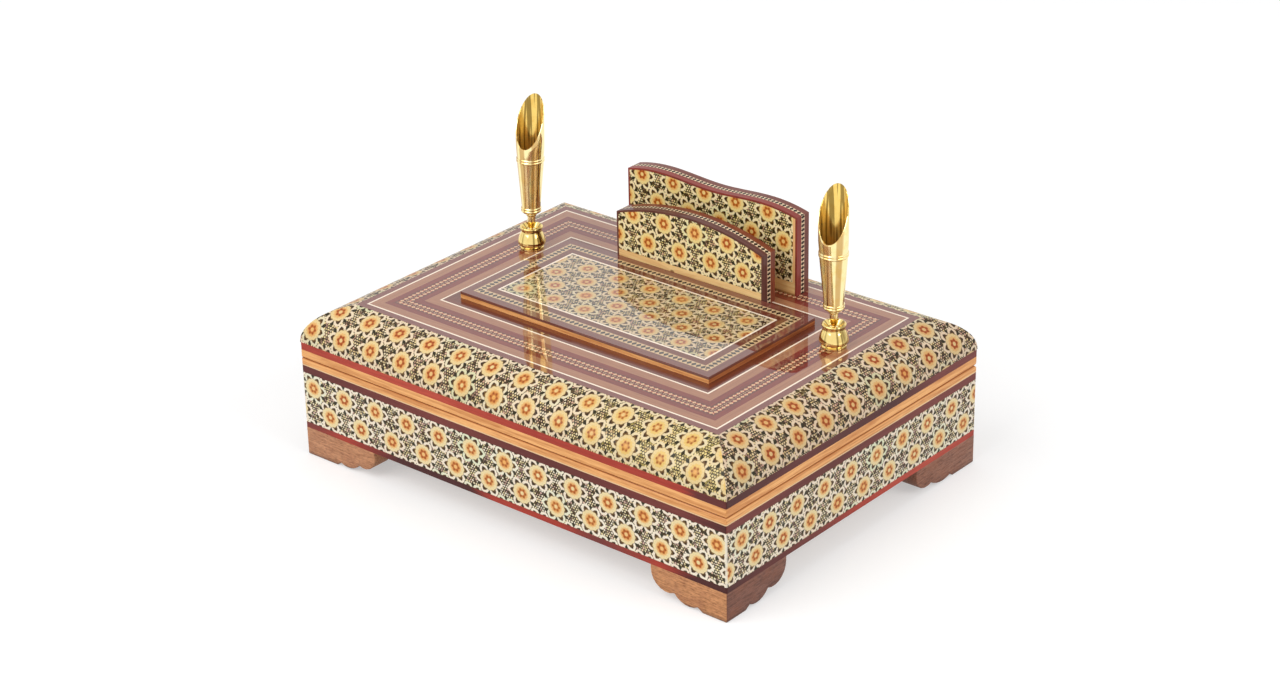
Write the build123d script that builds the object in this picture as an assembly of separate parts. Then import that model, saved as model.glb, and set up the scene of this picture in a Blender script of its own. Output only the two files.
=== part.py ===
from build123d import *
from math import sqrt, sin, cos, radians
import os

# A desk pen case: a marquetry box on bracket feet with a hinged lid. The lid carries a raised panel,
# a two-plate card holder and two swivelling pen funnels.
# Millimetres, Z up, front towards -Y. The origin lies on the desk under the middle of the case.

# Case
case_length = 250
case_depth = 184
corner_radius = 0.8
skin = 2                   # stripes and marquetry panels glued over the core boards
core = 7                   # core boards of the walls
foot_height = 14.2
lower_stripe_height = 2.9
panel_height = 25.7
upper_stripe_height = 3.6
base_rim_height = 3.5
seam_gap = 0.3
lid_rim_height = 4.1
lid_stripe_height = 3.6
cove_rise = 17.4
cove_inset = 18.9
cove_reach = 26            # horizontal half-axis of the ellipse that the lid's sides follow
eased_edge = 0.4           # the two rims' outer edges at the seam

# Boards inside
bottom_recess = 1          # the bottom board sits this far above the walls' lower edge
bottom_thickness = 4
lip_thickness = 2          # the liner that stands above the base rim and guides the lid
lip_rise = 5
lip_clearance = 0.4
lining_thickness = 1
lining_drop = 4            # from the top of the lip down to the edge of the lining
top_board_thickness = 7.8

# Bracket feet: two wings, each with two lobes and a flat sole. Distances run from the corner.
foot_length = 41.5
foot_thickness = 11
foot_end_height = 12.2
lobe_cusp = (28.6, 4.0)
lobe_bulge = (37.0, 4.2)
inner_cusp = (15.9, 1.7)
inner_bulge = (24.4, 1.0)
sole_length = 13.2
glue_block_side = 16
glue_block_lift = 2

# Hinges, let into the two rims at the back. The bevelled back edges stop the lid.
hinge_spacing = 150
barrel_radius = 1.5
pin_radius = 0.75
pin_clearance = 0.05
leaf_length = 30
leaf_width = 7
leaf_thickness = 1
leaf_clearance = 0.05      # from each leaf to the seam's middle plane
knuckle_gap = 0.15
pocket_clearance = 0.2
open_angle = 95
stop_clearance = 0.15
screw_spacing = 22
screw_inset = 3.6          # from the barrel's axis
screw_radius = 0.7
screw_head_radius = 1.4
screw_head_depth = 0.7
screw_length = 6

# Marquetry bands on the flat of the lid, from its edge inwards
top_veneer = 1.5
lid_bands = [("border", 3.5), ("white_lines", 0.9), ("tan_bands", 4.9), ("red_lines", 3.1), ("chain", 6.4),
             ("red_lines", 3.4), ("tan_bands", 4.9), ("white_lines", 0.9)]

# Raised panel, inside the inner white line
panel_side_border = 5.1    # the strip of the lid's field that shows at the panel's ends
panel_front_border = 6.9
panel_board = 2.2
panel_veneer = 1
panel_bands = [("border", 4.0), ("chain", 4.4), ("inner_band", 3.6), ("white_line", 1.0)]

# Card holder
plate_thickness = 9
plate_veneer = 1
plate_edging = 1
plate_gap = 0.3            # between the raised panel and the front plate
card_slot = 9.5
bare_strip = 6.4
edging_bands = [("front", 3.2), ("chain", 2.6), ("back", 3.2)]
front_plate_length = 86.6
front_plate_end = 25.2
front_plate_crown = 32.7
back_plate_length = 100
back_plate_shift = -1.5
back_plate_end = 39.0
back_plate_hump = 41.7
back_plate_dip = 40.2
hump_distance = 29
plate_screw_spacing = 56
plate_screw_radius = 1.5
plate_screw_head = 3
plate_screw_head_depth = 1.5
plate_screw_length = 22

# Pen holders: a cup screwed to the lid, a seat that turns in it, and a ball stud under the funnel.
# Heights run from the top of the lid.
left_holder_inset = 39.4   # from the side of the case
right_holder_inset = 31.9
holder_setback = 66.8      # from the back of the case
funnel_turn = 15           # the mouths face this many degrees right of straight ahead
holder_lean = {"left": 1.6, "right": -1.4}   # how far the funnels lean back at rest, in degrees
cup_height = 11.2
cup_rim_radius = 5.5
cup_rim_band = 0.8         # the straight part of the cup's rim
cup_rim_edge = 0.2
cup_flare = (5.05, 9.6)    # radius and height, as in the next four
cup_waist = (4.95, 8.7)
cup_widest = (6.7, 3.7)
cup_shoulder = (6.3, 2.2)
cup_groove = (5.1, 1.3)
cup_flange_radius = 5.7
cup_flange_height = 0.9
cup_floor = 2.5
cup_mouth_radius = 4.7
seat_radius = 3.9
seat_clearance = 0.1
ball_radius = 3.1
ball_height = 7.6
ball_clearance = 0.15
lip_ring_height = (1.0, 1.6)   # the cup's inner lip, above the ball's centre
stud_neck_radius = 1.4
neck_radius = 1.9
neck_start = 3.2
neck_full = 4.2
funnel_bottom = 18.3
funnel_floor = 22.2
funnel_low = 51.7
funnel_tip = 75.6
funnel_radius = 6.75
funnel_foot_radius = 4.5
funnel_wall = 0.5
upper_ring_height = 43.9
bead_height = 1.25
bead_rise = 0.35
funnel_foot_edge = 0.4
stud_hole = (1.6, 2.4)     # radius and depth of the threaded hole in the funnel's foot
stud_tip_gap = 0.1
thread_radius = 2
thread_clearance = 0.05
thread_hole_clearance = 0.2
nut_recess_radius = 6.2
nut_recess_depth = 3.6
washer_radius = 4.5
washer_thickness = 0.8
nut_flats = 7
nut_thickness = 2.4

# Levels and places that follow
half_length = case_length / 2
half_depth = case_depth / 2
wall = skin + core
lid_wall = wall - lip_clearance
panel_bottom = foot_height + lower_stripe_height
upper_stripe_bottom = panel_bottom + panel_height
base_rim_bottom = upper_stripe_bottom + upper_stripe_height
base_top = base_rim_bottom + base_rim_height
seam = base_top + seam_gap / 2
lid_bottom = base_top + seam_gap
lid_stripe_bottom = lid_bottom + lid_rim_height
cove_bottom = lid_stripe_bottom + lid_stripe_height
lid_top = cove_bottom + cove_rise
cove_height = cove_rise / sqrt(1 - (1 - cove_inset / cove_reach) ** 2)
board_top = lid_top - top_veneer
board_bottom = board_top - top_board_thickness
floor_bottom = foot_height + bottom_recess
floor_top = floor_bottom + bottom_thickness
lip_top = base_top + lip_rise
hinge_y = half_depth - barrel_radius
hinge_places = [-hinge_spacing / 2, hinge_spacing / 2]
field_inset = cove_inset + sum(width for name, width in lid_bands)
half_panel_x = half_length - field_inset - panel_side_border
half_panel_y = half_depth - field_inset - panel_front_border
veneer_bottom = lid_top + panel_board
panel_top = veneer_bottom + panel_veneer
front_plate_y = half_panel_y + plate_gap
back_plate_y = front_plate_y + plate_thickness + card_slot
holder_places = {
    "left": (left_holder_inset - half_length, half_depth - holder_setback),
    "right": (half_length - right_holder_inset, half_depth - holder_setback),
}
above_all = 4 * lid_top    # taller than anything, for cutting through
cut_over = 1               # how far other cutting tools pass what they cut


def save(node, shapes):
    solids = [solid for shape in shapes for solid in shape.solids()]
    export_step(Compound(children=solids), f"parts/{node}.step")


def block(x0, x1, y0, y1, z0, z1):
    return Pos((x0 + x1) / 2, (y0 + y1) / 2, (z0 + z1) / 2) * Box(x1 - x0, y1 - y0, z1 - z0)


def section(inset0, inset1, z0, z1):
    """A rectangle across one side of the case, measured inwards from its outer face."""
    return Plane.YZ * Pos((inset0 + inset1) / 2, (z0 + z1) / 2) * Rectangle(inset1 - inset0, z1 - z0)


def prism(points, height):
    return extrude(make_face(Polyline(*points, close=True)), amount=height, dir=(0, 0, 1))


def mitred(profile, length, reach):
    """A moulding along X whose ends are cut at 45 degrees, its outer face on Y = 0."""
    bar = extrude(profile, amount=length / 2, both=True)
    end = length / 2
    return bar & prism([(-end, 0), (end, 0), (end - reach, reach), (reach - end, reach)], above_all)


def four_sides(profile, reach, half_x=half_length, half_y=half_depth):
    """The same moulding along the front, right, back and left of a rectangle."""
    long_side = mitred(profile, 2 * half_x, reach)
    short_side = mitred(profile, 2 * half_y, reach)
    return {
        "front": Pos(0, -half_y, 0) * long_side,
        "right": Pos(half_x, 0, 0) * Rot(0, 0, 90) * short_side,
        "back": Pos(0, half_y, 0) * Rot(0, 0, 180) * long_side,
        "left": Pos(-half_x, 0, 0) * Rot(0, 0, -90) * short_side,
    }


def frame(inset0, inset1, z0, z1, half_x=half_length, half_y=half_depth):
    return list(four_sides(section(inset0, inset1, z0, z1), inset1, half_x, half_y).values())


def round_corners(shapes):
    outline = extrude(RectangleRounded(case_length, case_depth, corner_radius), amount=above_all)
    return [shape & outline for shape in shapes]


def cut_all(shapes, tools):
    """Takes the tools out of each shape that they reach."""
    result = []
    for shape in shapes:
        for tool in tools:
            box, other = shape.bounding_box(), tool.bounding_box()
            apart = (box.min.X > other.max.X or other.min.X > box.max.X or box.min.Y > other.max.Y
                     or other.min.Y > box.max.Y or box.min.Z > other.max.Z or other.min.Z > box.max.Z)
            if not apart:
                shape = shape - tool
        result.append(shape)
    return result


def upright(radius, x, y, z0, z1):
    return Pos(x, y, (z0 + z1) / 2) * Cylinder(radius, z1 - z0)


def lying(radius, x0, x1, y, z):
    return Pos((x0 + x1) / 2, y, z) * Rot(0, 90, 0) * Cylinder(radius, x1 - x0)


def turned(*edges):
    """A solid of revolution about Z from edges drawn in the XZ plane."""
    return revolve(Plane.XZ * make_face(Curve(edges)), axis=Axis.Z)


def screw(x, y, head_z, direction, radius, head_radius, head_depth, length):
    """A countersunk wood screw, its head at head_z and its shank along direction, up or down."""
    head_middle = head_z + direction * head_depth / 2
    bottom, top = (head_radius, radius) if direction > 0 else (radius, head_radius)
    head = Pos(x, y, head_middle) * Cone(bottom, top, head_depth)
    shank_ends = sorted([head_z + direction * head_depth, head_z + direction * length])
    return head + upright(radius, x, y, *shank_ends)


def foot():
    """The bracket foot of the front left corner: two mitred wings and the glue block behind them."""
    end = (foot_length, foot_end_height)
    face = make_face(Plane.XZ * Curve([
        Polyline((sole_length, 0), (0, 0), (0, foot_height), (foot_length, foot_height), end),
        ThreePointArc(end, lobe_bulge, lobe_cusp),
        ThreePointArc(lobe_cusp, inner_bulge, inner_cusp),
        Line(inner_cusp, (sole_length, 0)),
    ]))
    plate = extrude(face, amount=foot_thickness, dir=(0, 1, 0))
    plan = [(0, 0), (foot_length, 0), (foot_length, foot_thickness), (foot_thickness, foot_thickness)]
    wing = plate & prism(plan, foot_height)
    other_wing = mirror(wing, about=Plane(origin=(0, 0, 0), z_dir=(1, -1, 0)))
    inner = foot_thickness
    side = inner + glue_block_side
    block_plan = [(inner, inner), (side, inner), (inner, side)]
    glue_block = Pos(0, 0, glue_block_lift) * prism(block_plan, floor_bottom - glue_block_lift)
    corner = Pos(-half_length, -half_depth, 0)
    return [corner * wing, corner * other_wing, corner * glue_block]


def hinge_leaf(x, direction):
    """One leaf of a butt hinge: direction -1 is the base's, with two knuckles, +1 the lid's, with one."""
    near = leaf_clearance
    far = leaf_clearance + leaf_thickness
    z0, z1 = sorted([seam + direction * near, seam + direction * far])
    start, end = x - leaf_length / 2, x + leaf_length / 2
    third = leaf_length / 3
    leaf = block(start, end, hinge_y - leaf_width, hinge_y - barrel_radius - knuckle_gap, z0, z1)
    if direction < 0:
        spans = [(start, start + third - knuckle_gap), (end - third + knuckle_gap, end)]
    else:
        spans = [(start + third, end - third)]
    for x0, x1 in spans:
        leaf = leaf + block(x0, x1, hinge_y - leaf_width / 2, hinge_y, z0, z1)
        leaf = leaf + lying(barrel_radius, x0, x1, hinge_y, seam)
    bore = pin_radius if direction < 0 else pin_radius + pin_clearance
    leaf = leaf - lying(bore, start - cut_over, end + cut_over, hinge_y, seam)
    for side in (-1, 1):
        leaf = leaf - hinge_screw(x + side * screw_spacing / 2, direction)
    return leaf


def hinge_screw(x, direction):
    head_z = seam + direction * leaf_clearance
    return screw(x, hinge_y - screw_inset, head_z, direction, screw_radius, screw_head_radius,
                 screw_head_depth, screw_length)


def hinge_pockets(direction):
    """What the rims give up to the hinges: the leaves' pockets, the barrels and the bevel at the back."""
    tools = []
    z0, z1 = sorted([seam, seam + direction * (leaf_clearance + leaf_thickness)])
    for x in hinge_places:
        start, end = x - leaf_length / 2 - pocket_clearance, x + leaf_length / 2 + pocket_clearance
        tools.append(block(start, end, hinge_y - leaf_width - pocket_clearance, hinge_y, z0, z1))
        tools.append(lying(barrel_radius + pocket_clearance, start, end, hinge_y, seam))
    slope = radians(open_angle / 2)
    apex = hinge_y - stop_clearance / sin(slope)
    reach = 3 * barrel_radius
    groove = make_face(Plane.YZ * Polyline(
        (apex, seam), (apex + reach * cos(slope), seam - reach * sin(slope)),
        (apex + reach * cos(slope), seam + reach * sin(slope)), close=True))
    tools.append(extrude(groove, amount=half_length + cut_over, both=True))
    return tools


def rim(seam_z, far_z, depth):
    """A light wood rim between the seam and the stripe beyond it, its outer edge at the seam eased."""
    eased_z = seam_z + eased_edge if far_z > seam_z else seam_z - eased_edge
    profile = make_face(Plane.YZ * Polyline(
        (0, far_z), (depth, far_z), (depth, seam_z), (eased_edge, seam_z), (0, eased_z), close=True))
    return round_corners(four_sides(profile, depth).values())


def ellipse_area(offset):
    """The area under the lid's cove, in section, shrunk by an offset."""
    middle = Pos(cove_reach, cove_bottom)
    return Plane.YZ * middle * Ellipse(cove_reach - offset, cove_height - offset)


def band_frames(bands, inset, z0, z1, half_x, half_y):
    """Mitred strips side by side from an inset inwards, gathered by name."""
    strips = {}
    for name, width in bands:
        strips.setdefault(name, []).extend(frame(inset, inset + width, z0, z1, half_x, half_y))
        inset += width
    return strips


def arched_top(length):
    end = length / 2
    return ThreePointArc((-end, front_plate_end), (0, front_plate_crown), (end, front_plate_end))


def waved_top(length):
    end = length / 2
    return Spline((-end, back_plate_end), (-hump_distance, back_plate_hump), (0, back_plate_dip),
                  (hump_distance, back_plate_hump), (end, back_plate_end))


def card_plate(length, top_edge, shift, y):
    """One plate of the card holder: its core, faces, bare foot strips and the edging's three bands."""
    end = length / 2
    top = top_edge(length)
    outline = Curve([top, Polyline(top @ 1, (end, 0), (-end, 0), top @ 0)])
    slab = extrude(make_face(Plane.XZ * outline), amount=plate_thickness, dir=(0, 1, 0))
    slab = Pos(shift, y, lid_top) * slab
    left, right = shift - end, shift + end
    back = y + plate_thickness
    inside = (Pos(0, 0, -plate_edging) * slab) & block(
        left + plate_edging, right - plate_edging, y, back, lid_top, lid_top + above_all)

    def slice_of(shape, y0, y1, z0=lid_top, z1=lid_top + above_all):
        return shape & block(left - cut_over, right + cut_over, y0, y1, z0, z1)

    strip_top = lid_top + bare_strip
    pieces = {
        "core": [slice_of(inside, y + plate_veneer, back - plate_veneer)],
        "faces": [slice_of(inside, y, y + plate_veneer, strip_top),
                  slice_of(inside, back - plate_veneer, back, strip_top)],
        "strips": [slice_of(inside, y, y + plate_veneer, z1=strip_top),
                   slice_of(inside, back - plate_veneer, back, z1=strip_top)],
    }
    edging = slab - inside
    start = y
    for name, width in edging_bands:
        pieces[name] = [slice_of(edging, start, start + width)]
        start += width
    return pieces


def plate_screws(shift, y):
    middle = y + plate_thickness / 2
    return [screw(shift + side * plate_screw_spacing / 2, middle, board_bottom, 1, plate_screw_radius,
                  plate_screw_head, plate_screw_head_depth, plate_screw_length) for side in (-1, 1)]


def pen_cup():
    """The cup: a flanged bulb with a flared mouth, a lip over the ball and a threaded stud below."""
    lip_sphere = ball_radius + ball_clearance
    low, high = lip_ring_height
    lip_low = (sqrt(lip_sphere ** 2 - low ** 2), ball_height + low)
    lip_high = (sqrt(lip_sphere ** 2 - high ** 2), ball_height + high)
    middle = (low + high) / 2
    lip_middle = (sqrt(lip_sphere ** 2 - middle ** 2), ball_height + middle)
    bore = seat_radius + seat_clearance
    stud_end = -(top_veneer + top_board_thickness)
    rim_start = (cup_rim_radius, cup_height - cup_rim_band)
    return turned(
        Polyline((0, cup_floor), (0, stud_end), (thread_radius, stud_end), (thread_radius, 0),
                 (cup_flange_radius, 0), (cup_flange_radius, cup_flange_height), cup_groove),
        ThreePointArc(cup_groove, cup_shoulder, cup_widest),
        Line(cup_widest, cup_waist),
        ThreePointArc(cup_waist, cup_flare, rim_start),
        Polyline(rim_start, (cup_rim_radius, cup_height - cup_rim_edge),
                 (cup_rim_radius - cup_rim_edge, cup_height), (cup_mouth_radius, cup_height), lip_high),
        ThreePointArc(lip_high, lip_middle, lip_low),
        Polyline(lip_low, (bore, ball_height + low), (bore, cup_floor), (0, cup_floor)),
    )


def ball_seat():
    """The seat under the ball, which turns in the cup."""
    bottom = cup_floor + seat_clearance
    top = ball_height + lip_ring_height[0] - ball_clearance
    hollow = Sphere(ball_radius + ball_clearance)
    return upright(seat_radius, 0, 0, bottom, top) - Pos(0, 0, ball_height) * hollow


def ball_stud():
    """The ball, its neck and the thread in the funnel's foot."""
    neck_base = sqrt(ball_radius ** 2 - stud_neck_radius ** 2)
    thread_top = funnel_bottom + stud_hole[1] - stud_tip_gap
    return turned(
        ThreePointArc((0, ball_height - ball_radius), (ball_radius, ball_height),
                      (stud_neck_radius, ball_height + neck_base)),
        Polyline((stud_neck_radius, ball_height + neck_base), (stud_neck_radius, ball_height + neck_start),
                 (neck_radius, ball_height + neck_full), (neck_radius, funnel_bottom),
                 (stud_hole[0], funnel_bottom), (stud_hole[0], thread_top), (0, thread_top),
                 (0, ball_height - ball_radius)),
    )


def funnel():
    """The tapered funnel with two pairs of beads, cut obliquely across its mouth."""
    foot_z = funnel_bottom + funnel_foot_edge
    first = foot_z + bead_height
    second = first + bead_height
    ring = upper_ring_height
    foot_bead = funnel_foot_radius + bead_rise
    shoulder = funnel_radius - bead_rise
    ring_groove = ring + bead_height
    wall_start = ring_groove + bead_height
    hole_radius, hole_depth = stud_hole
    mouth = funnel_radius - funnel_wall
    over_tip = funnel_tip + cut_over
    body = turned(
        Polyline((0, funnel_bottom + hole_depth), (hole_radius, funnel_bottom + hole_depth),
                 (hole_radius, funnel_bottom), (funnel_foot_radius - funnel_foot_edge, funnel_bottom),
                 (funnel_foot_radius, foot_z)),
        ThreePointArc((funnel_foot_radius, foot_z), (foot_bead, (foot_z + first) / 2),
                      (funnel_foot_radius, first)),
        ThreePointArc((funnel_foot_radius, first), (foot_bead, (first + second) / 2),
                      (funnel_foot_radius, second)),
        Line((funnel_foot_radius, second), (shoulder, ring)),
        ThreePointArc((shoulder, ring), (funnel_radius, (ring + ring_groove) / 2), (shoulder, ring_groove)),
        ThreePointArc((shoulder, ring_groove), (funnel_radius, (ring_groove + wall_start) / 2),
                      (shoulder, wall_start)),
        Polyline((shoulder, wall_start), (funnel_radius, funnel_low), (funnel_radius, over_tip),
                 (mouth, over_tip), (mouth, funnel_low - funnel_wall),
                 (funnel_foot_radius - funnel_wall, funnel_floor), (0, funnel_floor),
                 (0, funnel_bottom + hole_depth)),
    )
    middle = (funnel_low + funnel_tip) / 2
    slope = Vector(0, 2 * funnel_radius, funnel_tip - funnel_low).get_angle(Vector(0, 1, 0))
    over = funnel_tip
    return body - Pos(0, 0, middle) * Rot(slope, 0, 0) * Pos(0, 0, over / 2) * Box(over, over, over)


def holder_place(side, lean=0):
    """Where a pen holder's parts stand, leaning back by some degrees about the ball's centre."""
    x, y = holder_places[side]
    ball_centre = Pos(x, y, lid_top + ball_height)
    return ball_centre * Rot(-lean, 0, 0) * Rot(0, 0, funnel_turn) * Pos(0, 0, -ball_height)


os.makedirs("parts", exist_ok=True)

# Base: mitred core boards, the bottom board and the liner that guides the lid
base_cores = four_sides(section(skin, wall, foot_height, base_rim_bottom), wall)
base_screws = [hinge_screw(x + side * screw_spacing / 2, -1) for x in hinge_places for side in (-1, 1)]
for side, board in base_cores.items():
    save(f"base_{side}_wall", cut_all([board], base_screws))
inner = {"x": half_length - wall, "y": half_depth - wall}
save("base_bottom_board", [block(-inner["x"], inner["x"], -inner["y"], inner["y"], floor_bottom, floor_top)])
lip_profile = make_face(Plane.YZ * Polyline(
    (wall, floor_top), (wall + lip_thickness, floor_top), (wall + lip_thickness, lip_top),
    (wall + lip_thickness / 2, lip_top), (wall, lip_top - lip_thickness / 2), close=True))
save("base_lip", four_sides(lip_profile, wall + lip_thickness).values())
lined = wall + lip_thickness
lining_top = lip_top - lining_drop
tray = block(lined - half_length, half_length - lined, lined - half_depth, half_depth - lined,
             floor_top, lining_top)
hollow = lined + lining_thickness
save("base_lining", [tray - block(hollow - half_length, half_length - hollow, hollow - half_depth,
                                  half_depth - hollow, floor_top + lining_thickness, lining_top + cut_over)])

# Base: the outer marquetry, stripes and rim
base_panels = four_sides(section(0, skin, panel_bottom, upper_stripe_bottom), skin)
save("base_long_khatam", round_corners([base_panels["front"], base_panels["back"]]))
save("base_short_khatam", round_corners([base_panels["left"], base_panels["right"]]))
save("base_stripes", round_corners(frame(0, skin, foot_height, panel_bottom)
                                   + frame(0, skin, upper_stripe_bottom, base_rim_bottom)))
save("base_rim", cut_all(rim(base_top, base_rim_bottom, wall), hinge_pockets(-1) + base_screws))

# Feet
front_left = round_corners(foot())
front_right = [mirror(piece, about=Plane.YZ) for piece in front_left]
back_left = [mirror(piece, about=Plane.XZ) for piece in front_left]
back_right = [mirror(piece, about=Plane.XZ) for piece in front_right]
save("foot_front_left", front_left)
save("foot_front_right", front_right)
save("foot_back_left", back_left)
save("foot_back_right", back_right)

# Hinges
save("hinge_base_leaves", [hinge_leaf(x, -1) for x in hinge_places])
save("hinge_lid_leaves", [hinge_leaf(x, 1) for x in hinge_places])
save("hinge_pins", [lying(pin_radius, x - leaf_length / 2, x + leaf_length / 2, hinge_y, seam)
                    for x in hinge_places])
save("hinge_base_screws", base_screws)
lid_screws = [hinge_screw(x + side * screw_spacing / 2, 1) for x in hinge_places for side in (-1, 1)]
save("hinge_lid_screws", lid_screws)

# Lid: shaped cove boards under a curved marquetry skin
cove_zone = section(0, cove_inset, cove_bottom, lid_top)
skin_profile = (ellipse_area(0) - ellipse_area(skin)) & cove_zone
core_profile = ((ellipse_area(skin) & cove_zone) + section(skin, lid_wall, lid_stripe_bottom, cove_bottom)
                - section(lid_wall, cove_inset, cove_bottom, board_bottom))
for side, board in four_sides(core_profile, cove_inset).items():
    save(f"lid_{side}_cove", cut_all([board], lid_screws))
lid_skins = four_sides(skin_profile, cove_inset)
save("lid_long_khatam", [lid_skins["front"], lid_skins["back"]])
save("lid_short_khatam", [lid_skins["left"], lid_skins["right"]])
save("lid_lower_stripe", round_corners(frame(0, skin, lid_stripe_bottom, cove_bottom)))
save("lid_rim", cut_all(rim(lid_bottom, lid_stripe_bottom, lid_wall), hinge_pockets(1) + lid_screws))

# Lid: the top board and the marquetry on it, bored for the pen holders and the card plates' screws
holder_screws = plate_screws(0, front_plate_y) + plate_screws(back_plate_shift, back_plate_y)
stud_holes = [upright(thread_radius + thread_hole_clearance, x, y, board_bottom, lid_top + cut_over)
              for x, y in holder_places.values()]
nut_recesses = [upright(nut_recess_radius, x, y, board_bottom - cut_over, board_bottom + nut_recess_depth)
                for x, y in holder_places.values()]
borings = holder_screws + stud_holes + nut_recesses
top_x, top_y = half_length - cove_inset, half_depth - cove_inset
save("lid_top_board", cut_all([block(-top_x, top_x, -top_y, top_y, board_bottom, board_top)], borings))
for name, strips in band_frames(lid_bands, cove_inset, board_top, lid_top, half_length, half_depth).items():
    save(f"lid_top_{name}", cut_all(strips, borings))
field_x, field_y = half_length - field_inset, half_depth - field_inset
save("lid_top_field", cut_all([block(-field_x, field_x, -field_y, field_y, board_top, lid_top)], borings))
lining_x, lining_y = half_length - lid_wall, half_depth - lid_wall
save("lid_lining", [block(-lining_x, lining_x, -lining_y, lining_y, board_bottom - lining_thickness,
                          board_bottom)])

# Raised panel
save("panel_board", [block(-half_panel_x, half_panel_x, -half_panel_y, half_panel_y, lid_top, veneer_bottom)])
for name, strips in band_frames(panel_bands, 0, veneer_bottom, panel_top, half_panel_x, half_panel_y).items():
    save(f"panel_{name}", strips)
bands_width = sum(width for name, width in panel_bands)
khatam_x, khatam_y = half_panel_x - bands_width, half_panel_y - bands_width
save("panel_khatam", [block(-khatam_x, khatam_x, -khatam_y, khatam_y, veneer_bottom, panel_top)])

# Card holder
front_plate = card_plate(front_plate_length, arched_top, 0, front_plate_y)
back_plate = card_plate(back_plate_length, waved_top, back_plate_shift, back_plate_y)
for name, pieces in {"card_front_plate": front_plate, "card_back_plate": back_plate}.items():
    save(name, cut_all(pieces["core"], holder_screws))
    save(f"{name}_edging", pieces["front"] + pieces["back"])
save("card_plate_khatam", front_plate["faces"] + back_plate["faces"])
save("card_plate_edge_chains", front_plate["chain"] + back_plate["chain"])
save("card_plate_foot_strips", front_plate["strips"] + back_plate["strips"])
save("card_plate_screws", holder_screws)

# Pen holders
nut_ceiling = -(top_veneer + top_board_thickness - nut_recess_depth)
nut_top = nut_ceiling - washer_thickness
nut_bore = upright(thread_radius + thread_clearance, 0, 0, nut_top - nut_thickness, nut_ceiling)
washer = upright(washer_radius, 0, 0, nut_top, nut_ceiling) - nut_bore
nut_outline = RegularPolygon(nut_flats / 2, 6, major_radius=False)
nut = Pos(0, 0, nut_top) * extrude(nut_outline, amount=-nut_thickness) - nut_bore
fasteners = []
for side in holder_places:
    place = holder_place(side)
    save(f"{side}_pen_cup", [place * pen_cup()])
    save(f"{side}_ball_seat", [place * ball_seat()])
    leaning_place = holder_place(side, holder_lean[side])
    save(f"{side}_ball_stud", [leaning_place * ball_stud()])
    save(f"{side}_funnel", [leaning_place * funnel()])
    fasteners += [place * washer, place * nut]
save("pen_cup_nuts", fasteners)
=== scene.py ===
import bpy
import bmesh
import cmath
import math
from functools import partialmethod
from mathutils import Matrix, Vector


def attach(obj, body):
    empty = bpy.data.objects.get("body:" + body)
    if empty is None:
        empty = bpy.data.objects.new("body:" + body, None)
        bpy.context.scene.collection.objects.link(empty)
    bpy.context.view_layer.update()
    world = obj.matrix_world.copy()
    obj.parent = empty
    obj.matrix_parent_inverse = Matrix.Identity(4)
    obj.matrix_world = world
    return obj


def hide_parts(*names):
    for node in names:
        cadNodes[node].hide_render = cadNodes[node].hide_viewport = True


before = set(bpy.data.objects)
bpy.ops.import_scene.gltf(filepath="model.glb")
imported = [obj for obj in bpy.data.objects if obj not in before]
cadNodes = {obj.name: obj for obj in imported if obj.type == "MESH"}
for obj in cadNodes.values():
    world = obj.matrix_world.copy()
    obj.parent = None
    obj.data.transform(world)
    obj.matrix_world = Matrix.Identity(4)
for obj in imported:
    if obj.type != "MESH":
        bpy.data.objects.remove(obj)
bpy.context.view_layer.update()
print("frame loaded:", len(cadNodes), "nodes")

millimetre = 0.001
# heights and half sizes of the case in millimetres, as in the CAD
caseSize = {"lidTop": 75.3, "coveBottom": 57.9, "coveRadius": 18.09, "seam": 50.05}
caseHalf = (125.0, 92.0)
panelHalf = (73.0, 38.2)


def tint(red, green, blue):
    # a colour as it looks on a screen, 0 to 255, for a shader socket
    def linear(value):
        value = value / 255
        return value / 12.92 if value <= 0.04045 else ((value + 0.055) / 1.055) ** 2.4
    return linear(red), linear(green), linear(blue), 1


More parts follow.
